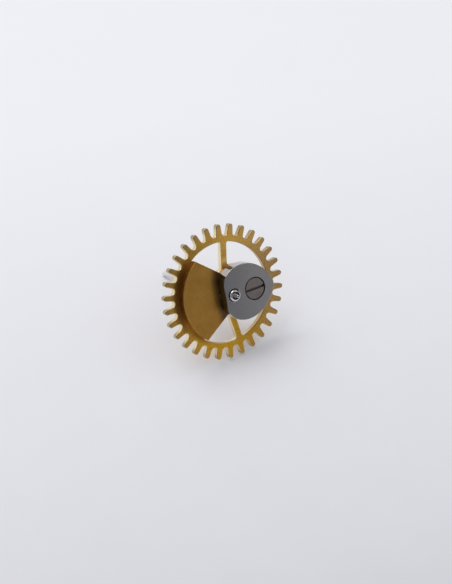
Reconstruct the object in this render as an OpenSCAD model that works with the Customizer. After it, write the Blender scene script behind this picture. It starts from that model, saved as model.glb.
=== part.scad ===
// Minute recording wheel of a chronograph, also called the minute recording runner.
// Millimetres. The arbor runs along Z with the front pivot up, and +X points at the tip of the heart cam.
// The origin is on the arbor's axis, at the shoulder of the rear pivot.

/* [Toothed wheel] */
// Number of teeth, one for each recorded minute
tooth_count = 30; // [28:1:32]
// Diameter over the tips of the teeth
tip_d = 6; // [5.8:0.1:6.4]
// Height of a tooth from its root to its tip
tooth_h = 0.51; // [0.47:0.01:0.57]
// Width of a tooth at its root
tooth_root_w = 0.31; // [0.28:0.01:0.33]
// Width of a tooth where its round tip begins
tooth_tip_w = 0.22; // [0.18:0.01:0.25]
// Angle by which the nearest tooth stands off the line of symmetry
tooth_phase = 1.5; // [0:0.5:6]
// Width of the rim between the roots of the teeth and the windows
rim_w = 0.26; // [0.2:0.02:0.3]
// Thickness of the wheel
wheel_t = 0.24; // [0.2:0.02:0.34]

/* [Arms] */
// Width of each of the two narrow arms
arm_w = 0.3; // [0.24:0.02:0.4]
// Angle of each narrow arm from the line of symmetry
arm_angle = 81.1; // [75:0.1:86]
// Radius of the fillets where an arm meets the rim
arm_fillet = 0.1; // [0.06:0.02:0.16]
// Radius of the fillets where an arm meets the boss
foot_fillet = 0.1; // [0.06:0.02:0.16]

/* [Counterweight] */
// Thickness of the counterweight plate
weight_t = 0.3; // [0.24:0.02:0.4]
// Angle of each straight side from the line of symmetry
weight_half_angle = 36.2; // [33:0.1:39]
// Turn of the wide arm and its plate from the line of symmetry
weight_turn = -1.1; // [-2:0.1:2]
// Distance of each straight side from the arbor's axis
weight_side = 0.64; // [0.58:0.01:0.7]
// Gap between the arc of the plate and the inner edge of the rim
weight_inset = 0.015; // [0.01:0.005:0.05]
// Chamfer along the arc of the plate
weight_chamfer = 0.03; // [0.02:0.01:0.06]
// Reach of the round boss behind the arbor's axis
boss_back = 0.68; // [0.64:0.01:0.74]
// Wall of the boss outside the cam screw's thread
boss_wall = 0.34; // [0.3:0.01:0.38]

/* [Heart cam] */
// Radius of the cam at its tip
cam_tip_r = 2.06; // [2.02:0.01:2.12]
// Fall of the cam's radius over half a turn
cam_fall = 1.9; // [1.86:0.01:1.94]
// Angle from the tip at which each lobe ends
cam_lobe_angle = 134; // [131:1:137]
// Half angle over which the tip is blunted
cam_blunt_angle = 2; // [1:0.5:4]
// Depth of the shallow hollow between the two lobes
cam_hollow = 0.03; // [0.02:0.01:0.04]
// Thickness of the cam
cam_t = 0.5; // [0.45:0.01:0.55]
// Width of the countersink round the arbor
cam_sink_w = 0.02; // [0.01:0.01:0.05]
// Depth of the countersink round the arbor
cam_sink_t = 0.02; // [0.01:0.01:0.1]

/* [Cam screw] */
// Distance of the cam screw from the arbor's axis
screw_x = 1.06; // [1.02:0.01:1.1]
// Diameter of the screw's head
head_d = 0.93; // [0.86:0.01:0.98]
// Thickness of the screw's head
head_t = 0.25; // [0.2:0.01:0.28]
// Depth of the head's top below the cam's face
head_sunk = 0.01; // [0.01:0.005:0.03]
// Chamfer round the head
head_chamfer = 0.02; // [0.01:0.005:0.04]
// Diameter of the screw's shank and thread
shank_d = 0.4; // [0.36:0.01:0.44]
// Width of the driver slot
slot_w = 0.11; // [0.09:0.01:0.14]
// Depth of the driver slot
slot_t = 0.12; // [0.08:0.01:0.14]
// Angle of the driver slot from the line of symmetry
slot_angle = 2; // [-90:1:90]

/* [Arbor] */
// Diameter of the staff that carries the collet and the cam
staff_d = 0.52; // [0.48:0.01:0.56]
// Height of the front shoulder above the cam's face
shoulder_rise = 0.12; // [0.08:0.01:0.2]
// Radius of the rounded edge of the front shoulder
shoulder_round = 0.08; // [0.04:0.01:0.09]
// Diameter of the front pivot
front_pivot_d = 0.12; // [0.1:0.01:0.14]
// Length of the front pivot
front_pivot_l = 0.2; // [0.18:0.01:0.3]
// Diameter of the body between the collet and the rear pivot
body_d = 0.76; // [0.74:0.01:0.84]
// Length of the body
body_l = 0.95; // [0.8:0.05:1.2]
// Diameter of the rear pivot
rear_pivot_d = 0.3; // [0.28:0.01:0.32]
// Length of the rear pivot
rear_pivot_l = 1.9; // [1.7:0.1:2.2]
// Length of the taper between the rear pivot and the hand seat
taper_l = 0.6; // [0.55:0.05:0.8]
// Diameter of the seat for the recording hand
hand_seat_d = 0.26; // [0.24:0.01:0.27]
// Length of the seat for the recording hand
hand_seat_l = 1.5; // [1.2:0.1:1.8]
// Chamfer on the arbor's turned edges
arbor_chamfer = 0.03; // [0.02:0.005:0.04]

/* [Collet] */
// Diameter of the collet behind the wheel
collet_d = 1.3; // [1.2:0.05:1.5]
// Length of the collet behind the wheel
collet_l = 0.51; // [0.4:0.01:0.6]
// Diameter of the neck that the wheel and the plate are riveted on
neck_d = 0.86; // [0.8:0.02:0.92]
// Chamfer round the rear of the collet
collet_chamfer = 0.08; // [0.04:0.01:0.12]

/* [Clearances] */
// Radial play of the cam on the staff
cam_play = 0.02; // [0.01:0.005:0.03]
// Radial play round the screw's head, which lets the cam be turned to its setting
head_play = 0.045; // [0.04:0.005:0.06]
// Radial play round the shank in the cam, which lets the cam be turned to its setting
shank_play = 0.05; // [0.04:0.005:0.06]
// Radial play of the thread in the plate and the wheel
thread_play = 0.015; // [0.01:0.005:0.02]

/* [Hidden] */
$fn = 96;
// Overshoot of a cut past the face that it opens
cut = 0.1;
// Depth by which a round gap bottom or fillet cuts into what it blends, so that they cross and don't just touch
undercut = 0.003;
// Angle between the points that draw the cam's spiral
spiral_step = 3;
// Angle between the points that draw a turned round edge
round_step = 15;

// Heights along the arbor, from the shoulder of the rear pivot
wheel_back_z = body_l + collet_l;
wheel_front_z = wheel_back_z + wheel_t;
cam_back_z = wheel_front_z + weight_t;
cam_front_z = cam_back_z + cam_t;
shoulder_z = cam_front_z + shoulder_rise;
front_end_z = shoulder_z + front_pivot_l;
taper_z = -rear_pivot_l;
hand_seat_z = taper_z - taper_l;
rear_end_z = hand_seat_z - hand_seat_l;

// Radii of the toothed wheel
tip_r = tip_d / 2;
root_r = tip_r - tooth_h;
rim_r = root_r - rim_w;
tip_round_r = tooth_tip_w / 2;
weight_r = rim_r - weight_inset;

// Lean of a tooth's flank, and the round gap bottom, which cuts into both flanks by the undercut
flank_slope = (tooth_root_w - tooth_tip_w) / 2 / (tooth_h - tip_round_r);
flank_angle = atan(flank_slope);
half_pitch = 180 / tooth_count;
touch_r = (root_r * (sin(half_pitch) + flank_slope * (cos(half_pitch) - 1)) - tooth_root_w / 2)
    / (1 / cos(flank_angle) - sin(half_pitch) - flank_slope * cos(half_pitch));
gap_r = touch_r + undercut;
gap_x = root_r + gap_r;

// The boss under the cam reaches from behind the arbor to outside the screw's thread
thread_hole_d = shank_d + 2 * thread_play;
boss_front = screw_x + thread_hole_d / 2 + boss_wall;
boss_r = (boss_front + boss_back) / 2;
boss_x = (boss_front - boss_back) / 2;

// The screw's head rests on the floor of its recess in the cam
head_back_z = cam_front_z - head_sunk - head_t;

// Radius of the cam at an angle from its tip, falling at a steady rate
function cam_r(angle) = cam_tip_r - cam_fall * abs(angle) / 180;
function cam_point(angle) = cam_r(angle) * [cos(angle), sin(angle)];
// Points of an arc
function arc(centre, r, from, to) =
    [for (i = [0 : abs(to - from) / round_step])
        let (angle = from + sign(to - from) * i * round_step) centre + r * [cos(angle), sin(angle)]];

module drilled(d, z, h, x = 0) {
    translate([x, 0, z - cut]) cylinder(d = d, h = h + 2 * cut);
}

module at_arms() {
    for (side = [0, 1]) mirror([0, side]) rotate(arm_angle) children();
}

// One tooth: a full round tip, and straight flanks that end in the round gap bottoms
module tooth_2d() {
    tip_x = tip_r - tip_round_r;
    gap = gap_x * [cos(half_pitch), sin(half_pitch)];
    touch = gap - touch_r * [sin(flank_angle), cos(flank_angle)];
    side = [[tip_x, tip_round_r], touch, (touch + gap) / 2, [root_r - rim_w / 2, tooth_root_w / 2]];
    polygon(concat(side, [for (i = [len(side) - 1 : -1 : 0]) [side[i][0], -side[i][1]]]));
    translate([tip_x, 0]) circle(r = tip_round_r);
}

module toothed_ring_2d() {
    difference() {
        union() {
            circle(r = root_r + gap_r / 2);
            for (i = [0 : tooth_count - 1]) rotate(tooth_phase + 2 * i * half_pitch) tooth_2d();
        }
        for (i = [0 : tooth_count - 1])
            rotate(tooth_phase + (2 * i + 1) * half_pitch) translate([gap_x, 0]) circle(r = gap_r);
        circle(r = rim_r);
    }
}

// A narrow arm, filleted on both sides where it meets the rim and the boss
module arm_2d() {
    flank = arm_w / 2;
    rim_y = flank + arm_fillet;
    rim_x = sqrt(pow(rim_r - arm_fillet, 2) - pow(rim_y, 2));
    // Where the fillet touches the rim's circle
    rim_touch = [rim_x, rim_y] * rim_r / (rim_r - arm_fillet);
    translate([0, -flank]) square([root_r - rim_w / 2, arm_w]);
    for (side = [0, 1]) mirror([0, side]) {
        // The boss's centre as this side of the arm sees it, and the foot's fillet, which touches the boss
        boss = boss_x * [cos(arm_angle), (2 * side - 1) * sin(arm_angle)];
        foot_y = flank + foot_fillet;
        foot_x = boss[0] + sqrt(pow(boss_r + foot_fillet, 2) - pow(foot_y - boss[1], 2));
        foot_touch = boss + ([foot_x, foot_y] - boss) * boss_r / (boss_r + foot_fillet);
        difference() {
            polygon([[rim_x, 0], [root_r - rim_w / 2, 0], [root_r - rim_w / 2, rim_touch[1]],
                     rim_touch, [rim_x, rim_y]]);
            translate([rim_x, rim_y]) circle(r = arm_fillet + undercut);
        }
        difference() {
            polygon([[0, 0], [foot_x, 0], [foot_x, foot_y], foot_touch, [0, foot_touch[1]]]);
            translate([foot_x, foot_y]) circle(r = foot_fillet + undercut);
        }
    }
}

// The wide sector between two straight sides, out to a radius, turned a little from the line of symmetry
module sector_2d(r) {
    reach = 2 * r;
    apex_x = weight_side / sin(weight_half_angle);
    side_end = apex_x * [1, 0] - reach * [cos(weight_half_angle), sin(weight_half_angle)];
    intersection() {
        circle(r = r);
        rotate(weight_turn) polygon([[apex_x, 0], side_end, [side_end[0], -side_end[1]]]);
    }
}

module boss_2d() {
    translate([boss_x, 0]) circle(r = boss_r);
}

module heart_2d() {
    lobe = cam_point(cam_lobe_angle);
    // Circle that sinks by the hollow's depth between the two lobes
    hollow_r = (pow(lobe[1], 2) + pow(cam_hollow, 2)) / (2 * cam_hollow);
    sweep = cam_lobe_angle - cam_blunt_angle;
    steps = ceil(sweep / spiral_step);
    angles = [for (i = [0 : steps]) cam_blunt_angle + i * sweep / steps];
    difference() {
        polygon([for (a = angles) cam_point(a), for (i = [steps : -1 : 0]) cam_point(-angles[i])]);
        translate([lobe[0] + cam_hollow - hollow_r, 0]) circle(r = hollow_r, $fn = 360);
    }
}

// Steel arbor, turned in one piece from the rear end to the front pivot
module arbor() {
    pivot_r = front_pivot_d / 2;
    staff_r = staff_d / 2;
    body_r = body_d / 2;
    seat_r = hand_seat_d / 2;
    pivot_chamfer = min(arbor_chamfer, pivot_r / 2);
    color("silver") rotate_extrude() polygon(concat(
        [[0, rear_end_z], [seat_r - arbor_chamfer, rear_end_z], [seat_r, rear_end_z + arbor_chamfer],
         [seat_r, hand_seat_z], [rear_pivot_d / 2, taper_z], [rear_pivot_d / 2, 0],
         [body_r - arbor_chamfer, 0], [body_r, arbor_chamfer],
         [body_r, body_l - arbor_chamfer], [body_r - arbor_chamfer, body_l], [staff_r, body_l]],
        arc([staff_r - shoulder_round, shoulder_z - shoulder_round], shoulder_round, 0, 90),
        [[pivot_r, shoulder_z], [pivot_r, front_end_z - pivot_chamfer],
         [pivot_r - pivot_chamfer, front_end_z], [0, front_end_z]]));
}

// Brass collet, pressed on the staff, that carries the wheel and the counterweight on its neck
module collet() {
    collet_r = collet_d / 2;
    color("goldenrod") difference() {
        rotate_extrude() polygon([[0, body_l], [collet_r - collet_chamfer, body_l],
            [collet_r, body_l + collet_chamfer], [collet_r, wheel_back_z], [neck_d / 2, wheel_back_z],
            [neck_d / 2, cam_back_z], [0, cam_back_z]]);
        drilled(staff_d, body_l, cam_back_z - body_l);
    }
}

// Gilt wheel: toothed rim, two narrow arms, and the wide arm and boss under the counterweight
module toothed_wheel() {
    color("gold") difference() {
        translate([0, 0, wheel_back_z]) linear_extrude(wheel_t) {
            toothed_ring_2d();
            at_arms() arm_2d();
            sector_2d(rim_r + rim_w / 2);
            boss_2d();
        }
        drilled(neck_d, wheel_back_z, wheel_t);
        drilled(thread_hole_d, wheel_back_z, wheel_t, screw_x);
    }
}

// Brass counterweight: a sector plate on the wheel whose round boss is the seat of the cam
module counterweight() {
    color("darkgoldenrod") difference() {
        intersection() {
            translate([0, 0, wheel_front_z]) linear_extrude(weight_t) {
                sector_2d(weight_r);
                boss_2d();
            }
            rotate_extrude() polygon([[0, wheel_front_z], [weight_r, wheel_front_z],
                [weight_r, cam_back_z - weight_chamfer], [weight_r - weight_chamfer, cam_back_z],
                [0, cam_back_z]]);
        }
        drilled(neck_d, wheel_front_z, weight_t);
        drilled(thread_hole_d, wheel_front_z, weight_t, screw_x);
    }
}

// Steel heart cam, turned on the staff to its setting and clamped there by the cam screw
module heart_cam() {
    bore_d = staff_d + 2 * cam_play;
    color("dimgray") difference() {
        translate([0, 0, cam_back_z]) linear_extrude(cam_t) heart_2d();
        drilled(bore_d, cam_back_z, cam_t);
        translate([0, 0, cam_front_z - cam_sink_t])
            cylinder(d1 = bore_d, d2 = bore_d + 2 * cam_sink_w, h = cam_sink_t);
        drilled(shank_d + 2 * shank_play, cam_back_z, cam_t, screw_x);
        translate([screw_x, 0, head_back_z])
            cylinder(d = head_d + 2 * head_play, h = head_t + head_sunk + cut);
    }
}

// Steel screw with a slotted flat head, sunk in the cam and threaded into the plate and the wheel
module cam_screw() {
    head_r = head_d / 2;
    shank_r = shank_d / 2;
    head_front_z = head_back_z + head_t;
    color("gray") translate([screw_x, 0]) difference() {
        rotate_extrude() polygon([[0, wheel_back_z], [shank_r - arbor_chamfer, wheel_back_z],
            [shank_r, wheel_back_z + arbor_chamfer], [shank_r, head_back_z], [head_r, head_back_z],
            [head_r, head_front_z - head_chamfer], [head_r - head_chamfer, head_front_z],
            [0, head_front_z]]);
        rotate(slot_angle) translate([-head_d, -slot_w / 2, head_front_z - slot_t])
            cube([2 * head_d, slot_w, slot_t + cut]);
    }
}

arbor();
collet();
toothed_wheel();
counterweight();
heart_cam();
cam_screw();
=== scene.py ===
import math
from itertools import accumulate

import bpy
from mathutils import Matrix, Vector, geometry


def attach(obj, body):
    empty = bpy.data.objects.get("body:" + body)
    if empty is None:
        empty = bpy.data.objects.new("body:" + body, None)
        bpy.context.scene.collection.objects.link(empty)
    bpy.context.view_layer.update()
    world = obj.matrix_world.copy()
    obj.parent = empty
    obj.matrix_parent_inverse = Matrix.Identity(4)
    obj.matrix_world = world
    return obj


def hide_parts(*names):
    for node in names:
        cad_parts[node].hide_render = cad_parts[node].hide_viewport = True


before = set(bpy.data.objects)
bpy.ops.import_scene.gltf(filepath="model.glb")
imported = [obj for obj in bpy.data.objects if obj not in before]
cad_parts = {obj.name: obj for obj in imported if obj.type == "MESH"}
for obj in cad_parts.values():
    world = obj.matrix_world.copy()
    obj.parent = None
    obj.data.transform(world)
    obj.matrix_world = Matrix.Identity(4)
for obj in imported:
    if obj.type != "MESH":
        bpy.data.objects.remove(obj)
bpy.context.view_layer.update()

MM = 0.001

# Toothed wheel
TOOTH_COUNT = 30
PITCH = 360 / TOOTH_COUNT
TIP_R = 3.0
TOOTH_H = 0.51
TOOTH_ROOT_W = 0.31
TOOTH_TIP_W = 0.22
TOOTH_PHASE = 1.5
RIM_W = 0.26
WHEEL_T = 0.24
ROOT_R = TIP_R - TOOTH_H
RIM_R = ROOT_R - RIM_W
TIP_ROUND_R = TOOTH_TIP_W / 2
FLANK_SLOPE = (TOOTH_ROOT_W - TOOTH_TIP_W) / 2 / (TOOTH_H - TIP_ROUND_R)
# Half a pitch in radians, and the radius of the round gap bottom that touches both flanks
HALF_PITCH = math.radians(PITCH / 2)
GAP_R = ((ROOT_R * (math.sin(HALF_PITCH) + FLANK_SLOPE * (math.cos(HALF_PITCH) - 1)) - TOOTH_ROOT_W / 2)
         / (math.hypot(1, FLANK_SLOPE) - math.sin(HALF_PITCH) - FLANK_SLOPE * math.cos(HALF_PITCH)))

# Arms
ARM_W = 0.3
ARM_ANGLE = 81.1
ARM_FILLET = 0.1
FOOT_FILLET = 0.1

# Counterweight
WEIGHT_T = 0.3
WEIGHT_HALF_ANGLE = 36.2
WEIGHT_TURN = -1.1
WEIGHT_SIDE = 0.64
WEIGHT_INSET = 0.015
WEIGHT_R = RIM_R - WEIGHT_INSET
BOSS_BACK = 0.68
BOSS_FRONT = 1.615
BOSS_R = (BOSS_FRONT + BOSS_BACK) / 2
BOSS_X = (BOSS_FRONT - BOSS_BACK) / 2

# Heart cam
CAM_TIP_R = 2.06
CAM_FALL = 1.9
CAM_LOBE_ANGLE = 134
CAM_BLUNT_ANGLE = 2
CAM_HOLLOW = 0.03
CAM_T = 0.5
CAM_BORE_R = 0.28
CAM_SINK_W = 0.02
CAM_SINK_T = 0.02

# Cam screw
SCREW_X = 1.06
HEAD_R = 0.465
HEAD_T = 0.25
HEAD_SUNK = 0.01
SHANK_R = 0.2
SLOT_W = 0.11
SLOT_T = 0.12
SLOT_ANGLE = 2
RECESS_R = 0.51
SHANK_HOLE_R = 0.25
THREAD_HOLE_R = 0.215

# Arbor and collet
STAFF_R = 0.26
SHOULDER_RISE = 0.12
SHOULDER_ROUND = 0.08
FRONT_PIVOT_R = 0.06
FRONT_PIVOT_L = 0.2
BODY_R = 0.38
BODY_L = 0.95
REAR_PIVOT_R = 0.15
REAR_PIVOT_L = 1.9
TAPER_L = 0.6
HAND_SEAT_R = 0.13
HAND_SEAT_L = 1.5
COLLET_R = 0.65
COLLET_L = 0.51
NECK_R = 0.43

# Radii of the small rounded edges
WHEEL_BACK_EDGE = 0.012
WHEEL_FRONT_EDGE = 0.03
WEIGHT_BACK_EDGE = 0.006
WEIGHT_FRONT_EDGE = 0.014
CAM_BACK_EDGE = 0.012
CAM_FRONT_EDGE = 0.02
HOLE_EDGE = 0.006
RECESS_EDGE = 0.008
HEAD_BACK_EDGE = 0.006
HEAD_FRONT_EDGE = 0.014
TURNED_EDGE = 0.03
COLLET_BACK_EDGE = 0.08
COLLET_EDGE = 0.005

# Heights from the shoulder of the rear pivot
WHEEL_BACK_Z = BODY_L + COLLET_L
WHEEL_FRONT_Z = WHEEL_BACK_Z + WHEEL_T
CAM_BACK_Z = WHEEL_FRONT_Z + WEIGHT_T
CAM_FRONT_Z = CAM_BACK_Z + CAM_T
SHOULDER_Z = CAM_FRONT_Z + SHOULDER_RISE
FRONT_END_Z = SHOULDER_Z + FRONT_PIVOT_L
HEAD_FRONT_Z = CAM_FRONT_Z - HEAD_SUNK
HEAD_BACK_Z = HEAD_FRONT_Z - HEAD_T
TAPER_Z = -REAR_PIVOT_L
HAND_SEAT_Z = TAPER_Z - TAPER_L
REAR_END_Z = HAND_SEAT_Z - HAND_SEAT_L

# Fineness of the meshes: the longest chord of an arc and step of a straight side, the least step of an
# outline, the widest turn between chords, the steps of a rounded edge, the cosine of the turn at which a
# corner stays sharp, the distance that merges points, and the angle in radians that counts as none
CHORD = 0.035
STRAIGHT_STEP = 4 * CHORD
LEAST_STEP = CHORD / 20
TURN = 7.5
EDGE_STEPS = 4
SHARP_TURN = math.cos(math.radians(28))
WELD = 1e-7
NO_ANGLE = 1e-6

# Painted shade on the rim in the corner along the counterweight's arc, twice: the radii, and the angles from
# the counterweight's middle, between which it fades in and out, and its greatest share
CORNER_SHADE_WIDE = ((2.75, 2.35), (-47, -9, 32, 60), 1.0)
CORNER_SHADE_NARROW = ((2.46, 2.22), (-64, -50, 30, 58), 0.80)
# Grey tips: the radii between which they fade in, and their greatest share
GREY_TIPS_R = (2.68, 2.92)
GREY_TIPS_SHARE = 0.85
# Painted light at the foot of the upper arm: its middle, and the distances between which it fades in
FOOT_LIGHT_AT = (0.17, 1.15, WHEEL_FRONT_Z)
FOOT_LIGHT_R = (0.5, 0.2)

# Metal: the scale of its patches, the most wear in its specks, and how they change its roughness
PATCH_SCALE = 1.7
WORN_SHARE = 0.35
ROUGH_CHANGE = (-0.05, 0.07)
# Circular grain: how much it stretches the gloss, and the share of a full turn by which it turns it
GRAIN_STRETCH = 0.7
GRAIN_TURN = 0.25

# Camera and floor, as directions in the frame of the solids. Clipping is in metres.
CAMERA_RIGHT = Vector((0.84389, -0.16413, 0.51080))
CAMERA_UP = Vector((0.28040, 0.94661, -0.15908))
CAMERA_AIM = Vector((0, 0, WHEEL_FRONT_Z))
CAMERA_DISTANCE = 47.89
CAMERA_LENS = 67.88
CAMERA_SENSOR = 36
CAMERA_SHIFT = (0.0016, 0.0005)
CAMERA_CLIP = (0.001, 10)
FLOOR_UP = Vector((-0.1152, 0.8744, 0.4712)).normalized()
STAGE_Y = FLOOR_UP.cross(CAMERA_RIGHT).normalized()
STAGE_X = STAGE_Y.cross(FLOOR_UP).normalized()

# Floor: half its side in metres, its tones near the camera and far away, whose change is painted shade,
# the distances between which they change, the power of that change and its slant to the right, its specks,
# and where it fades out
FLOOR_HALF = 1.5
FLOOR_NEAR_TONE = (0.615, 0.615, 0.65)
FLOOR_FAR_TONE = (0.83, 0.83, 0.865)
FLOOR_RISE = (-16, 16)
FLOOR_RISE_POWER = 0.55
FLOOR_SLANT = -0.2
FLOOR_SPECK_TONE = (0.9, 0.9, 0.9)
FLOOR_SPECK_SCALE = 0.35
FLOOR_SPECK_SHARE = 0.06
FLOOR_ROUGH = 0.75
FLOOR_GLOSS = 0.2
FLOOR_FADE = (30, 75)

# Lamp: its direction to the camera's right, away from it and up, its distance and size in metres, its power
LAMP_WAY = (-0.38, 0.28, 0.9)
LAMP_DISTANCE = 0.30
LAMP_SIZE = 0.22
LAMP_POWER = 0.32

# World: the light that it gives, and the pale tone that the camera and gloss see
LIGHT_TONE = (0.97, 0.98, 1.0)
LIGHT_STRENGTH = 0.76
PALE_TONE = (0.78, 0.78, 0.82)

# Cards: their distance in metres and the blue in their grey, then for each card its start and end,
# anticlockwise from the camera's right, its lowest and highest elevation, and its brightness
CARD_DISTANCE = 0.16
CARD_BLUE = 1.02
CARDS = [
    (-150, -82, -1, 60, 0.08), (-82, -60, -1, 12, 0.08), (-82, -60, 12, 60, 0.45),
    (-60, -42, -1, 20, 0.55), (-60, -42, 20, 62, 0.10), (-42, -28, 9, 62, 0.08),
    (-28, -10, 9, 30, 0.98), (-28, -10, 30, 62, 0.51), (-10, 20, 9, 30, 0.02), (-10, 20, 30, 62, 0.48),
    (-42, -36, -1, 9, 0.17), (-36, -23, -1, 2, 0.17), (-36, -23, 2, 9, 0.008), (-23, 20, -1, 9, 0.17),
    (-150, 20, 62, 75, 0.01), (20, 60, 30, 62, 0.22), (20, 80, -1, 30, 0.10), (60, 80, 30, 62, 0.10),
]


# Outlines

def polar(radius, degrees, centre=(0, 0)):
    """The point at a radius and an angle from a centre."""
    angle = math.radians(degrees)
    return (centre[0] + radius * math.cos(angle), centre[1] + radius * math.sin(angle))


def arc(centre, radius, start, end):
    """Points of an arc from one angle to another, both included."""
    sweep = abs(end - start)
    count = math.ceil(max(sweep / TURN, math.radians(sweep) * radius / CHORD))
    return [polar(radius, start + (end - start) * i / count, centre) for i in range(count + 1)]


def circle(radius, x=0):
    """Points of a full circle with its middle on the X axis."""
    return arc((x, 0), radius, 0, 360)[:-1]


def turned(points, degrees):
    """Points turned about the origin."""
    return [polar(math.hypot(x, y), math.degrees(math.atan2(y, x)) + degrees) for x, y in points]


def straight(start, end):
    """Points along a line, without its end, so that long walls have even faces."""
    count = max(1, math.ceil(math.dist(start, end) / STRAIGHT_STEP))
    return [tuple(Vector(start).lerp(Vector(end), i / count)) for i in range(count)]


def closed(corners):
    """Outline through corners, with points along its straight sides."""
    return [p for a, b in zip(corners, corners[1:] + corners[:1]) for p in straight(a, b)]


def signed_area(points):
    """Twice the area in a loop, above 0 where it runs anticlockwise."""
    return sum(a[0] * b[1] - a[1] * b[0] for a, b in zip(points, points[1:] + points[:1]))


def toothed_outline():
    """Round tips, straight flanks and round gap bottoms that touch the flanks."""
    flank = math.degrees(math.atan(FLANK_SLOPE))
    points = []
    for i in range(TOOTH_COUNT):
        axis = TOOTH_PHASE + i * PITCH
        tip = polar(TIP_R - TIP_ROUND_R, axis)
        gap = polar(ROOT_R + GAP_R, axis + PITCH / 2)
        points += arc(tip, TIP_ROUND_R, axis - 90 + flank, axis + 90 - flank)
        points += arc(gap, GAP_R, axis + 270 - flank, axis + PITCH + 90 + flank)
    return points


def arm_side(boss_y):
    """One side of an arm along +X, with fillets that touch the boss and the rim."""
    flank = ARM_W / 2
    boss_x = BOSS_X * math.cos(math.radians(ARM_ANGLE))
    foot_y, rim_y = flank + FOOT_FILLET, flank + ARM_FILLET
    foot_x = boss_x + math.sqrt((BOSS_R + FOOT_FILLET) ** 2 - (foot_y - boss_y) ** 2)
    rim_x = math.sqrt((RIM_R - ARM_FILLET) ** 2 - rim_y ** 2)
    end_x = ROOT_R - RIM_W / 2
    foot_touch = math.degrees(math.atan2(boss_y - foot_y, boss_x - foot_x)) % -360
    rim_touch = math.degrees(math.atan2(rim_y, rim_x))
    side = arc((foot_x, foot_y), FOOT_FILLET, foot_touch, -90)
    side += straight((foot_x, flank), (rim_x, flank))[1:]
    side += arc((rim_x, rim_y), ARM_FILLET, -90, rim_touch)
    return [(BOSS_R / 2, side[0][1])] + side + [(end_x, side[-1][1])]


def arm_outline():
    """A narrow arm along +X, which meets the boss out of its middle."""
    boss_y = BOSS_X * math.sin(math.radians(ARM_ANGLE))
    left, right = arm_side(-boss_y), arm_side(boss_y)
    return [(x, -y) for x, y in right] + left[::-1]


def sector_outline(radius):
    """The wide sector between two straight sides, drawn out past a radius that cuts it."""
    reach = 2 * radius
    apex = WEIGHT_SIDE / math.sin(math.radians(WEIGHT_HALF_ANGLE))
    end = polar(reach, 180 - WEIGHT_HALF_ANGLE, (apex, 0))
    return turned([(apex, 0), end, (end[0], -end[1])], WEIGHT_TURN)


def heart_outline():
    """Two spirals that fall from the tip, and the shallow hollow between the lobes."""
    def spiral(angle):
        return polar(CAM_TIP_R - CAM_FALL * abs(angle) / 180, angle)
    sweep = CAM_LOBE_ANGLE - CAM_BLUNT_ANGLE
    count = math.ceil(math.radians(sweep) * CAM_TIP_R / 2 / CHORD)
    rise = [spiral(CAM_BLUNT_ANGLE + sweep * i / count) for i in range(count + 1)]
    lobe = rise[-1]
    hollow_r = (lobe[1] ** 2 + CAM_HOLLOW ** 2) / (2 * CAM_HOLLOW)
    half = math.degrees(math.asin(lobe[1] / hollow_r))
    centre = (lobe[0] + CAM_HOLLOW - hollow_r, 0)
    hollow = arc(centre, hollow_r, half, -half)[1:-1]
    fall = [(x, -y) for x, y in reversed(rise)]
    return rise + hollow + fall


def triangles(shapes):
    """Points and triangles of overlapping outlines, each triangle with the outlines that hold it."""
    points, faces = [], []
    for shape in shapes:
        indices = list(range(len(points), len(points) + len(shape)))
        faces.append(indices if signed_area(shape) > 0 else indices[::-1])
        points += [Vector(p) for p in shape]
    out = geometry.delaunay_2d_cdt(points, [], faces, 1, WELD)
    return [tuple(p) for p in out[0]], out[2], [set(s) for s in out[5]], out[3]


def joined(shapes, keep):
    """Outlines of the flat area that keep(holders) picks, with the area on the left of each."""
    names = list(shapes)
    points, faces, holders, _ = triangles([shapes[n] for n in names])
    sides = set()
    for face, held in zip(faces, holders):
        if keep({names[i] for i in held}):
            sides |= set(zip(face, face[1:] + face[:1]))
    after = {a: b for a, b in sides if (b, a) not in sides}
    loops = []
    while after:
        point = next(iter(after))
        loop = []
        while point in after:
            loop.append(points[point])
            point = after.pop(point)
        loops.append(thinned(loop))
    return loops


def thinned(loop):
    """The loop without points that crowd their neighbours or a sharp corner: they would cross in an edge."""
    sides = [(Vector(b) - Vector(a)).normalized() for a, b in zip(loop, loop[1:] + loop[:1])]
    corners = [p for i, p in enumerate(loop) if sides[i - 1].dot(sides[i]) < SHARP_TURN]
    kept = []
    for point in loop:
        crowds = any(math.dist(point, corner) < CHORD for corner in corners)
        if point in corners or not crowds and (not kept or math.dist(point, kept[-1]) > LEAST_STEP):
            kept.append(point)
    return kept


# Meshes

def rounded(corners):
    """Profile of a wall from lower to upper cap: (outward, height, direction before, direction after)."""
    lower, upper = corners[0], corners[-1]
    line = [(lower[0] - 1, lower[1], 0)] + corners + [(upper[0] - 1, upper[1], 0)]
    profile = []
    for before, (out, z, radius), after in zip(line, line[1:], line[2:]):
        way_in = math.atan2(z - before[1], out - before[0])
        way_out = math.atan2(after[1] - z, after[0] - out)
        bend = math.remainder(way_out - way_in, 2 * math.pi)
        if radius == 0 or abs(bend) < NO_ANGLE:
            profile.append((out, z, way_in, way_in + bend))
            continue
        reach = radius * math.tan(abs(bend) / 2)
        side = math.copysign(1, bend)
        centre = (out - math.cos(way_in) * reach - math.sin(way_in) * radius * side,
                  z - math.sin(way_in) * reach + math.cos(way_in) * radius * side)
        steps = max(2, math.ceil(abs(bend) / (math.pi / 2) * EDGE_STEPS))
        for i in range(steps + 1):
            way = way_in + bend * i / steps
            profile.append((centre[0] + side * radius * math.sin(way),
                            centre[1] - side * radius * math.cos(way), way, way))
    return profile


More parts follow.
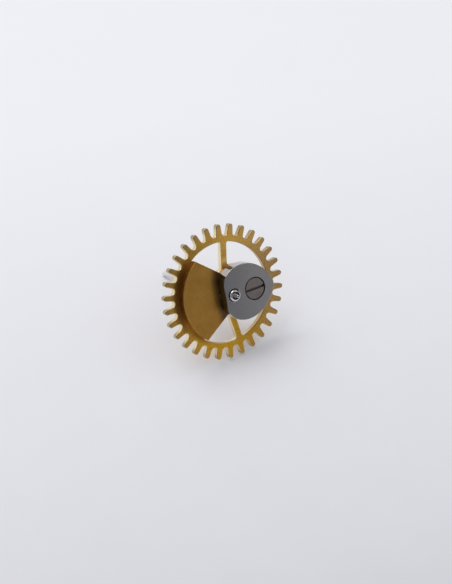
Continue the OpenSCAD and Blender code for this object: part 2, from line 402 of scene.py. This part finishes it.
class Skin:
    """Mesh of one piece in millimetres, with a normal for each corner of each face."""

    def __init__(self):
        self.points, self.faces, self.normals, self.materials = [], [], [], []

    def face(self, indices, normals, material):
        self.faces.append(indices)
        self.normals += normals
        self.materials.append(material)

    def wall(self, path, corners, material=0, edge_material=None, foot=None):
        """Sweeps a profile along a closed path that has the solid on its left; returns its two rims.

        A foot is a part of an earlier rim, from which the wall starts.
        """
        profile = rounded(corners)
        count = len(path)
        sides = []
        for a, b in zip(path, path[1:] + path[:1]):
            forward = (Vector(b) - Vector(a)).normalized()
            sides.append(Vector((forward.y, -forward.x)))
        lean = []
        for i in range(count):
            m, n = sides[i - 1], sides[i]
            lean.append((m + n) / (1 + m.dot(n)))
        smooth = [sides[i - 1].dot(sides[i]) > SHARP_TURN for i in range(count)]
        rings = []
        for k, (out, z, _, _) in enumerate(profile):
            if k == 0 and foot is not None:
                rings.append(foot)
                continue
            first = len(self.points)
            self.points += [(p[0] + out * u.x, p[1] + out * u.y, z) for p, u in zip(path, lean)]
            rings.append(list(range(first, first + count)))
        for k in range(len(profile) - 1):
            lower, upper = profile[k], profile[k + 1]
            is_edge = edge_material is not None and abs(lower[3] - upper[2]) > NO_ANGLE
            for i in range(count):
                j = (i + 1) % count
                starts = lean[i].normalized() if smooth[i] else sides[i]
                ends = lean[j].normalized() if smooth[j] else sides[i]
                quad = [(rings[k][i], starts, lower[3]), (rings[k][j], ends, lower[3]),
                        (rings[k + 1][j], ends, upper[2]), (rings[k + 1][i], starts, upper[2])]
                normals = [(math.sin(w) * s.x, math.sin(w) * s.y, -math.cos(w)) for _, s, w in quad]
                self.face([q[0] for q in quad], normals, edge_material if is_edge else material)
        return rings[0], rings[-1]

    def cap(self, rings, up):
        """Closes the flat area between rims, facing up or down, with the first material."""
        shapes = [[self.points[i][:2] for i in ring] for ring in rings]
        order = [i for ring in rings for i in ring]
        _, faces, holders, sources = triangles(shapes)
        for face, held in zip(faces, holders):
            if len(held) % 2 == 1:
                corners = [order[sources[i][0]] for i in face]
                self.face(corners if up > 0 else corners[::-1], [(0, 0, up)] * len(face), 0)

    def caps(self, rims):
        """Closes the lower and then the upper end between the two rims of each wall."""
        self.cap([low for low, _ in rims], -1)
        self.cap([high for _, high in rims], 1)

    def piece(self, name, body, node, slot, materials):
        """Makes the piece, which rides on a body and stands for a node of the solids."""
        mesh = bpy.data.meshes.new(name)
        mesh.from_pydata([Vector(p) * MM for p in self.points], [], self.faces)
        for material in materials:
            mesh.materials.append(material)
        mesh.polygons.foreach_set("material_index", self.materials)
        mesh.polygons.foreach_set("use_smooth", [True] * len(self.faces))
        mesh.normals_split_custom_set(self.normals)
        mesh.update()
        piece = placed(name, mesh)
        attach(piece, body)
        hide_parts(node)


def placed(name, data):
    """A new object in the scene."""
    thing = bpy.data.objects.new(name, data)
    bpy.context.scene.collection.objects.link(thing)
    return thing


def plate(loops, low, high, low_edge, high_edge, wall_material, edge_material):
    """A flat plate with rounded edges, whose two faces have the first material."""
    skin = Skin()
    skin.caps([skin.wall(loop, [(0, low, low_edge), (0, high, high_edge)], wall_material, edge_material)
               for loop in loops])
    return skin


def lathe(profile):
    """A turned solid from corners (radius, height, rounding), from its lower end to its upper end."""
    skin = Skin()
    widest = max(r for r, _, _ in profile)
    skin.caps([skin.wall(circle(widest), [(r - widest, z, edge) for r, z, edge in profile])])
    return skin


# Nodes of the materials

def nodes_of(name):
    """A new material and its empty tree of nodes."""
    material = bpy.data.materials.new(name)
    material.use_nodes = True
    tree = material.node_tree
    tree.nodes.clear()
    return material, tree


def add(tree, kind, inputs=None, **settings):
    """A new node, with a value or a link for each input."""
    node = tree.nodes.new(kind)
    for key, value in settings.items():
        setattr(node, key, value)
    for key, value in (inputs or {}).items():
        if isinstance(value, bpy.types.NodeSocket):
            tree.links.new(value, node.inputs[key])
        else:
            node.inputs[key].default_value = value
    return node


def surface(tree, shader, kind="ShaderNodeOutputMaterial"):
    """Sends a shader to the output of a material or of the world."""
    output = add(tree, kind)
    tree.links.new(shader.outputs[0], output.inputs[0])


def maths(tree, operation, *inputs):
    """Result of a sum on numbers."""
    return add(tree, "ShaderNodeMath", dict(enumerate(inputs)), operation=operation).outputs[0]


def vector_maths(tree, operation, *inputs, output=0):
    """Result of a sum on vectors, or with output="Value" the number that it gives."""
    return add(tree, "ShaderNodeVectorMath", dict(enumerate(inputs)), operation=operation).outputs[output]


def ways_of(tree, place):
    """X, Y and Z of a place."""
    return add(tree, "ShaderNodeSeparateXYZ", {0: place}).outputs


def in_mm(tree):
    """Object coordinates in millimetres."""
    coordinates = add(tree, "ShaderNodeTexCoord").outputs["Object"]
    return add(tree, "ShaderNodeVectorMath", {0: coordinates, "Scale": 1 / MM}, operation="SCALE").outputs[0]


def noise(tree, place, scale, detail=3.0, roughness=0.55):
    """Soft noise with features of about 1/scale millimetres."""
    return add(tree, "ShaderNodeTexNoise", {"Vector": place, "Scale": scale, "Detail": detail,
                                            "Roughness": roughness}).outputs[0]


def spread(tree, value, low, high, start=0.3, end=0.7):
    """Maps noise to a range."""
    return add(tree, "ShaderNodeMapRange", {"Value": value, "From Min": start, "From Max": end,
                                            "To Min": low, "To Max": high}).outputs[0]


def fade(tree, value, start, end):
    """Smooth share of a value between a start, where it is 0, and an end, where it is 1."""
    inputs = {"Value": value, "From Min": min(start, end), "From Max": max(start, end),
              "To Min": float(start > end), "To Max": float(start < end)}
    return add(tree, "ShaderNodeMapRange", inputs, interpolation_type="SMOOTHSTEP").outputs[0]


def product(tree, first, *others):
    """Product of two or more numbers."""
    for other in others:
        first = maths(tree, "MULTIPLY", first, other)
    return first


def blend(tree, share, first, second):
    """A share of the second tone over the first."""
    node = add(tree, "ShaderNodeMix", data_type="RGBA")
    tree.links.new(share, node.inputs["Factor"])
    for socket, value in ((6, first), (7, second)):
        if isinstance(value, bpy.types.NodeSocket):
            tree.links.new(value, node.inputs[socket])
        else:
            node.inputs[socket].default_value = (*value, 1)
    return node.outputs[2]


# Masks of tone, painted shade and painted light, by place on the object

def radius_of(tree, place):
    """Distance from the arbor's axis."""
    flat = vector_maths(tree, "MULTIPLY", place, (1, 1, 0))
    return vector_maths(tree, "LENGTH", flat, output="Value")


def painted_corner_shade(tree, place):
    """Painted shade: the gilt is darker and browner on the rim in the corner along the counterweight's arc.
    """
    radius = radius_of(tree, place)
    ways = ways_of(tree, vector_maths(tree, "MULTIPLY", place, (-1, 1, 0)))
    angle = maths(tree, "ARCTAN2", ways[1], ways[0])
    shares = []
    for radii, ends, most in (CORNER_SHADE_WIDE, CORNER_SHADE_NARROW):
        ends = [math.radians(a) for a in ends]
        shares.append(product(tree, fade(tree, radius, *radii), fade(tree, angle, ends[0], ends[1]),
                              fade(tree, angle, ends[3], ends[2]), most))
    return maths(tree, "MAXIMUM", *shares)


def grey_tips(tree, place):
    """Where the gilt is darker and greyer: towards the tips of the teeth."""
    return product(tree, fade(tree, radius_of(tree, place), *GREY_TIPS_R), GREY_TIPS_SHARE)


def painted_foot_light(tree, place):
    """Painted light: the gilt is paler at the foot of the upper arm, where the boss and cam shade it."""
    distance = vector_maths(tree, "DISTANCE", place, FOOT_LIGHT_AT, output="Value")
    return fade(tree, distance, *FOOT_LIGHT_R)


def along(way, start, end, most=1.0):
    """A mask that grows along X, Y or Z, from a start to an end."""
    def mask(tree, place):
        return product(tree, fade(tree, ways_of(tree, place)["XYZ".index(way)], start, end), most)
    return mask


# Materials

def metal(name, light, dark, worn, rough, grain, depth, stretch=(1, 1, 1), tones_and_painted_light=()):
    """Satin metal: patches of two tones, fine grain that scatters light, wear, and tones by place, among them
    painted shade and painted light.
    """
    material, tree = nodes_of(name)
    place = in_mm(tree)
    patches = noise(tree, place, PATCH_SCALE)
    specks = noise(tree, vector_maths(tree, "MULTIPLY", place, stretch), grain)
    tone = blend(tree, spread(tree, patches, 0, 1), light, dark)
    tone = blend(tree, spread(tree, specks, 0, WORN_SHARE), tone, worn)
    for mask, changed_tone in tones_and_painted_light:
        tone = blend(tree, mask(tree, place), tone, changed_tone)
    roughness = spread(tree, specks, rough + ROUGH_CHANGE[0], rough + ROUGH_CHANGE[1])
    bump = add(tree, "ShaderNodeBump", {"Height": specks, "Distance": depth * MM, "Strength": 1.0})
    surface(tree, add(tree, "ShaderNodeBsdfPrincipled", {"Base Color": tone, "Roughness": roughness,
                                                         "Normal": bump.outputs[0], "Metallic": 1.0}))
    return material


def turned_grain(material):
    """Circular grain about the arbor, which spreads the gloss outwards and inwards."""
    tree = material.node_tree
    shader = next(n for n in tree.nodes if n.type == "BSDF_PRINCIPLED")
    tangent = add(tree, "ShaderNodeTangent", direction_type="RADIAL", axis="Z")
    tree.links.new(tangent.outputs[0], shader.inputs["Tangent"])
    shader.inputs["Anisotropic"].default_value = GRAIN_STRETCH
    shader.inputs["Anisotropic Rotation"].default_value = GRAIN_TURN
    return material


# Each has a light, a dark and a worn tone, its roughness, and the scale and depth of its grain. The gilt has
# its grey tips, its warmer lower part, its greyer right, painted shade in its corner and a spot of painted
# light; its walls have painted shade towards the right. The plate has painted shade at the foot of the cam,
# the cam is darker towards its hollow, and the cam's wall has painted shade at the hollow.
GILT = turned_grain(metal(
    "gilt_satin", (0.84, 0.485, 0.090), (0.74, 0.385, 0.058), (0.92, 0.65, 0.21), 0.30, 28, 0.0003, tones_and_painted_light=[
        (grey_tips, (0.62, 0.42, 0.17)), (along("Y", 0.6, -2.4, 0.75), (0.82, 0.43, 0.028)),
        (along("X", 0.9, 2.5, 0.7), (0.84, 0.53, 0.22)), (painted_corner_shade, (0.28, 0.13, 0.026)),
        (painted_foot_light, (1.0, 0.70, 0.24))]))
# The walls are painted darker towards the right, as painted shade, and greyer towards the tips.
GILT_WALL = metal(
    "gilt_polished", (0.90, 0.76, 0.45), (0.80, 0.64, 0.33), (0.96, 0.88, 0.64), 0.20, 28, 0.0003, tones_and_painted_light=[
        (along("X", 0.2, 1.2), (0.58, 0.42, 0.21)), (grey_tips, (0.42, 0.32, 0.17))])
# The plate's darker brown at the foot of the cam is painted shade.
PLATE = metal(
    "plate_grained", (0.575, 0.305, 0.064), (0.475, 0.235, 0.043), (0.70, 0.40, 0.11), 0.36, 22, 0.0007,
    stretch=(1, 0.25, 1), tones_and_painted_light=[(along("X", -0.78, -0.35), (0.15, 0.085, 0.04))])
PLATE_WALL = metal(
    "plate_wall", (0.64, 0.38, 0.13), (0.54, 0.31, 0.10), (0.74, 0.49, 0.20), 0.30, 24, 0.0004)
STEEL = metal(
    "cam_satin", (0.405, 0.39, 0.395), (0.355, 0.345, 0.35), (0.52, 0.50, 0.505), 0.34, 26, 0.0007,
    stretch=(0.12, 1, 1), tones_and_painted_light=[(along("X", 1.6, -0.2, 0.6), (0.275, 0.275, 0.28))])
# The cam's wall is painted near black at its hollow: painted shade and painted reflection.
STEEL_WALL = metal(
    "cam_polished", (0.54, 0.505, 0.475), (0.47, 0.44, 0.42), (0.65, 0.61, 0.57), 0.12, 26, 0.0002,
    tones_and_painted_light=[(along("X", -0.30, -0.50), (0.10, 0.10, 0.115))])
# A dark tone that paints the shade in the screw's slot and in the recess round its head.
RECESS_SHADE = metal(
    "recess_painted_shade", (0.19, 0.18, 0.17), (0.15, 0.14, 0.135), (0.26, 0.24, 0.23), 0.35, 26, 0.0004)
SCREW = metal(
    "screw_satin", (0.305, 0.27, 0.25), (0.265, 0.235, 0.22), (0.39, 0.35, 0.33), 0.33, 26, 0.0007,
    stretch=(0.3, 1, 1))
ARBOR = metal(
    "arbor_polished", (0.74, 0.73, 0.735), (0.68, 0.67, 0.675), (0.82, 0.81, 0.81), 0.09, 20, 0.0001)
SEAT = metal(
    "seat_satin", (0.86, 0.83, 0.84), (0.80, 0.77, 0.78), (0.92, 0.90, 0.90), 0.75, 20, 0.0003)
COLLET = metal(
    "collet_turned", (0.72, 0.50, 0.20), (0.62, 0.42, 0.15), (0.85, 0.65, 0.32), 0.22, 24, 0.0004)


# Pieces. A wall's material is a number in the list that its piece is made with.

def sector_shapes(sector_r, inside_r):
    """Outlines that the wheel and the counterweight share, with those of their two holes."""
    return {"sector": closed(sector_outline(sector_r)), "inside": circle(inside_r),
            "boss": circle(BOSS_R, BOSS_X), "neck": circle(NECK_R), "thread": circle(THREAD_HOLE_R, SCREW_X)}


def in_sector(held):
    """Whether an area that outlines hold is in the sector or in the boss."""
    return "boss" in held or {"sector", "inside"} <= held


def in_hole(held):
    """Whether it is in the collet's hole or in the screw's."""
    return "neck" in held or "thread" in held


def make_wheel():
    arm = turned(arm_outline(), ARM_ANGLE)
    shapes = {"teeth": toothed_outline(), "opening": circle(RIM_R),
              "arm_up": arm, "arm_down": [(x, -y) for x, y in arm], **sector_shapes(RIM_R, RIM_R + RIM_W / 2)}

    def keep(held):
        in_rim = "teeth" in held and "opening" not in held
        in_arm = "arm_up" in held or "arm_down" in held
        return not in_hole(held) and (in_rim or in_arm or in_sector(held))
    skin = plate(joined(shapes, keep), WHEEL_BACK_Z, WHEEL_FRONT_Z, WHEEL_BACK_EDGE, WHEEL_FRONT_EDGE, 1, 1)
    skin.piece("wheel", "runner", "toothed_wheel", "gilt_brass", [GILT, GILT_WALL])


def make_counterweight():
    loops = joined(sector_shapes(WEIGHT_R, WEIGHT_R), lambda held: in_sector(held) and not in_hole(held))
    skin = plate(loops, WHEEL_FRONT_Z, CAM_BACK_Z, WEIGHT_BACK_EDGE, WEIGHT_FRONT_EDGE, 1, 0)
    skin.piece("counterweight_plate", "runner", "counterweight", "plate_brass", [PLATE, PLATE_WALL])


def make_cam():
    skin = Skin()
    ledge = RECESS_R - SHANK_HOLE_R
    skin.caps([
        skin.wall(heart_outline(), [(0, CAM_BACK_Z, CAM_BACK_EDGE), (0, CAM_FRONT_Z, CAM_FRONT_EDGE)], 1),
        skin.wall(circle(CAM_BORE_R)[::-1], [(0, CAM_BACK_Z, HOLE_EDGE), (0, CAM_FRONT_Z - CAM_SINK_T, 0),
                                             (-CAM_SINK_W, CAM_FRONT_Z, HOLE_EDGE)], 1),
        # The recess round the screw head has painted shade.
        skin.wall(circle(RECESS_R, SCREW_X)[::-1], [(ledge, CAM_BACK_Z, HOLE_EDGE), (ledge, HEAD_BACK_Z, 0),
                                                    (0, HEAD_BACK_Z, 0), (0, CAM_FRONT_Z, RECESS_EDGE)], 2),
    ])
    skin.piece("cam", "cam", "heart_cam", "cam_steel", [STEEL, STEEL_WALL, RECESS_SHADE])


def make_screw():
    """Turned screw whose head is split above the floor of its driver slot."""
    skin = Skin()
    floor_z = HEAD_FRONT_Z - SLOT_T
    edge = math.degrees(math.asin(SLOT_W / 2 / HEAD_R))
    sides = [arc((0, 0), HEAD_R, edge, 180 - edge), arc((0, 0), HEAD_R, 180 + edge, 360 - edge)]
    ends = [arc((0, 0), HEAD_R, 180 - edge, 180 + edge)[1:-1], arc((0, 0), HEAD_R, -edge, edge)[1:-1]]
    first_end, second_side, second_end = accumulate(map(len, (sides[0], ends[0], sides[1])))
    inset = HEAD_R - SHANK_R
    low, rim = skin.wall(sides[0] + ends[0] + sides[1] + ends[1], [
        (-inset, WHEEL_BACK_Z, TURNED_EDGE), (-inset, HEAD_BACK_Z, 0), (0, HEAD_BACK_Z, HEAD_BACK_EDGE),
        (0, floor_z, 0)])
    skin.cap([low], -1)
    floor = [rim[second_side]] + rim[first_end:second_side][::-1] + [rim[first_end - 1], rim[0]]
    floor += rim[second_end:][::-1] + [rim[second_end - 1]]
    if signed_area([skin.points[i] for i in floor]) < 0:
        floor = floor[::-1]
    # The floor of the slot has painted shade.
    skin.face(floor, [(0, 0, 1)] * len(floor), 1)
    for first, side in ((0, sides[0]), (second_side, sides[1])):
        foot = rim[first:first + len(side)]
        _, top = skin.wall(side, [(0, floor_z, 0), (0, HEAD_FRONT_Z, HEAD_FRONT_EDGE)], foot=foot)
        skin.cap([top], 1)
    flat = turned([(x, y) for x, y, _ in skin.points], SLOT_ANGLE)
    skin.points = [(SCREW_X + x, y, z) for (x, y), (_, _, z) in zip(flat, skin.points)]
    turn = Matrix.Rotation(math.radians(SLOT_ANGLE), 3, "Z")
    skin.normals = [turn @ Vector(n) for n in skin.normals]
    skin.piece("screw", "screw", "cam_screw", "screw_steel", [SCREW, RECESS_SHADE])


def make_arbor():
    """Turned arbor, satin on its hand seat and polished elsewhere."""
    skin = lathe([
        (HAND_SEAT_R, REAR_END_Z, TURNED_EDGE), (HAND_SEAT_R, HAND_SEAT_Z, 0), (REAR_PIVOT_R, TAPER_Z, 0),
        (REAR_PIVOT_R, 0, 0), (BODY_R, 0, TURNED_EDGE), (BODY_R, BODY_L, TURNED_EDGE), (STAFF_R, BODY_L, 0),
        (STAFF_R, SHOULDER_Z, SHOULDER_ROUND), (FRONT_PIVOT_R, SHOULDER_Z, 0),
        (FRONT_PIVOT_R, FRONT_END_Z, TURNED_EDGE)])
    for i, face in enumerate(skin.faces):
        if all(skin.points[p][2] < TAPER_Z for p in face):
            skin.materials[i] = 1
    skin.piece("arbor_steel", "runner", "arbor", "polished_steel", [ARBOR, SEAT])


def make_collet():
    skin = Skin()
    step = COLLET_R - NECK_R
    skin.caps([
        skin.wall(circle(COLLET_R), [(0, BODY_L, COLLET_BACK_EDGE), (0, WHEEL_BACK_Z, 0),
                                     (-step, WHEEL_BACK_Z, 0), (-step, CAM_BACK_Z, COLLET_EDGE)]),
        skin.wall(circle(STAFF_R)[::-1], [(0, BODY_L, COLLET_EDGE), (0, CAM_BACK_Z, COLLET_EDGE)]),
    ])
    skin.piece("collet_brass", "runner", "collet", "collet_brass", [COLLET])


# Stage: floor, cards, lamp, world and camera

def on_stage(right, away, up):
    """A direction given along the floor, to the camera's right and away from it, and up."""
    return STAGE_X * right + STAGE_Y * away + FLOOR_UP * up


def floor_material():
    """Pale paper, darker near the camera by painted shade, seen only from above, which fades out far away."""
    material, tree = nodes_of("floor_pale")
    place = in_mm(tree)
    ways = ways_of(tree, place)
    slant = maths(tree, "MULTIPLY_ADD", ways[0], FLOOR_SLANT, ways[1])
    rise = maths(tree, "POWER", spread(tree, slant, 0, 1, *FLOOR_RISE), FLOOR_RISE_POWER)
    tone = blend(tree, rise, FLOOR_NEAR_TONE, FLOOR_FAR_TONE)
    specks = noise(tree, place, FLOOR_SPECK_SCALE, detail=2.0)
    tone = blend(tree, spread(tree, specks, 0, FLOOR_SPECK_SHARE), tone, FLOOR_SPECK_TONE)
    paper = add(tree, "ShaderNodeBsdfPrincipled", {"Base Color": tone, "Roughness": FLOOR_ROUGH,
                                                   "Specular IOR Level": FLOOR_GLOSS})
    clear = add(tree, "ShaderNodeBsdfTransparent")
    from_below = add(tree, "ShaderNodeNewGeometry").outputs["Backfacing"]
    distance = vector_maths(tree, "LENGTH", place, output="Value")
    share = maths(tree, "MAXIMUM", from_below, fade(tree, distance, *FLOOR_FADE))
    surface(tree, add(tree, "ShaderNodeMixShader", {0: share, 1: paper.outputs[0], 2: clear.outputs[0]}))
    return material


def make_floor():
    """The floor, under the lowest point of the solids."""
    lowest = min(FLOOR_UP.dot(v.co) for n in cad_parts.values() for v in n.data.vertices)
    mesh = bpy.data.meshes.new("floor")
    mesh.from_pydata([(x * FLOOR_HALF, y * FLOOR_HALF, 0) for x, y in ((-1, -1), (1, -1), (1, 1), (-1, 1))],
                     [], [(0, 1, 2, 3)])
    mesh.materials.append(floor_material())
    floor = placed("floor", mesh)
    turn = Matrix((STAGE_X, STAGE_Y, FLOOR_UP)).transposed().to_4x4()
    floor.matrix_world = Matrix.Translation(FLOOR_UP * lowest) @ turn


def make_card(number, start, end, lowest, highest, brightness):
    """Curved card round the wheel, which only gloss sees: it lights nothing and casts no shadow."""
    name = f"card_{number}"
    low, high = (CARD_DISTANCE * math.tan(math.radians(a)) for a in (lowest, highest))
    count = math.ceil((end - start) / TURN)
    points = []
    for i in range(count + 1):
        angle = math.radians(start + (end - start) * i / count)
        across = on_stage(math.cos(angle), math.sin(angle), 0) * CARD_DISTANCE
        points += [across + FLOOR_UP * low, across + FLOOR_UP * high]
    mesh = bpy.data.meshes.new(name)
    mesh.from_pydata(points, [], [(2 * i, 2 * i + 1, 2 * i + 3, 2 * i + 2) for i in range(count)])
    material, tree = nodes_of(name)
    tone = (brightness, brightness, brightness * CARD_BLUE, 1)
    surface(tree, add(tree, "ShaderNodeEmission", {"Color": tone, "Strength": 1.0}))
    mesh.materials.append(material)
    card = placed(name, mesh)
    card.visible_camera = card.visible_diffuse = card.visible_shadow = False


def make_lamp():
    light = bpy.data.lights.new("key_lamp", "AREA")
    light.shape, light.size, light.energy = "DISK", LAMP_SIZE, LAMP_POWER
    lamp = placed("key_lamp", light)
    direction = on_stage(*LAMP_WAY).normalized()
    lamp.location = direction * LAMP_DISTANCE
    lamp.rotation_mode = "QUATERNION"
    lamp.rotation_quaternion = direction.to_track_quat("Z", "Y")
    lamp.visible_camera = False


def make_world():
    """Soft light from all round, which the camera and gloss see as a pale background."""
    world = bpy.data.worlds.new("studio")
    world.use_nodes = True
    bpy.context.scene.world = world
    tree = world.node_tree
    tree.nodes.clear()
    rays = add(tree, "ShaderNodeLightPath").outputs
    seen = maths(tree, "MAXIMUM", rays["Is Camera Ray"], rays["Is Glossy Ray"])
    seen = maths(tree, "MAXIMUM", seen, rays["Is Transmission Ray"])
    light = add(tree, "ShaderNodeBackground", {"Color": (*LIGHT_TONE, 1), "Strength": LIGHT_STRENGTH})
    pale = add(tree, "ShaderNodeBackground", {"Color": (*PALE_TONE, 1), "Strength": 1.0})
    mix = add(tree, "ShaderNodeMixShader", {0: seen, 1: light.outputs[0], 2: pale.outputs[0]})
    surface(tree, mix, "ShaderNodeOutputWorld")


def make_camera():
    data = bpy.data.cameras.new("camera")
    data.lens, data.sensor_width = CAMERA_LENS, CAMERA_SENSOR
    data.shift_x, data.shift_y = CAMERA_SHIFT
    data.clip_start, data.clip_end = CAMERA_CLIP
    camera = placed("camera", data)
    back = CAMERA_RIGHT.cross(CAMERA_UP).normalized()
    up = back.cross(CAMERA_RIGHT).normalized()
    turn = Matrix((CAMERA_RIGHT.normalized(), up, back)).transposed().to_4x4()
    camera.matrix_world = Matrix.Translation((CAMERA_AIM + back * CAMERA_DISTANCE) * MM) @ turn
    bpy.context.scene.camera = camera


make_camera()
make_wheel()
make_counterweight()
make_cam()
make_screw()
make_arbor()
make_collet()
make_floor()
for number, card in enumerate(CARDS):
    make_card(number, *card)
make_lamp()
make_world()

bpy.context.scene.view_settings.view_transform = "Standard"
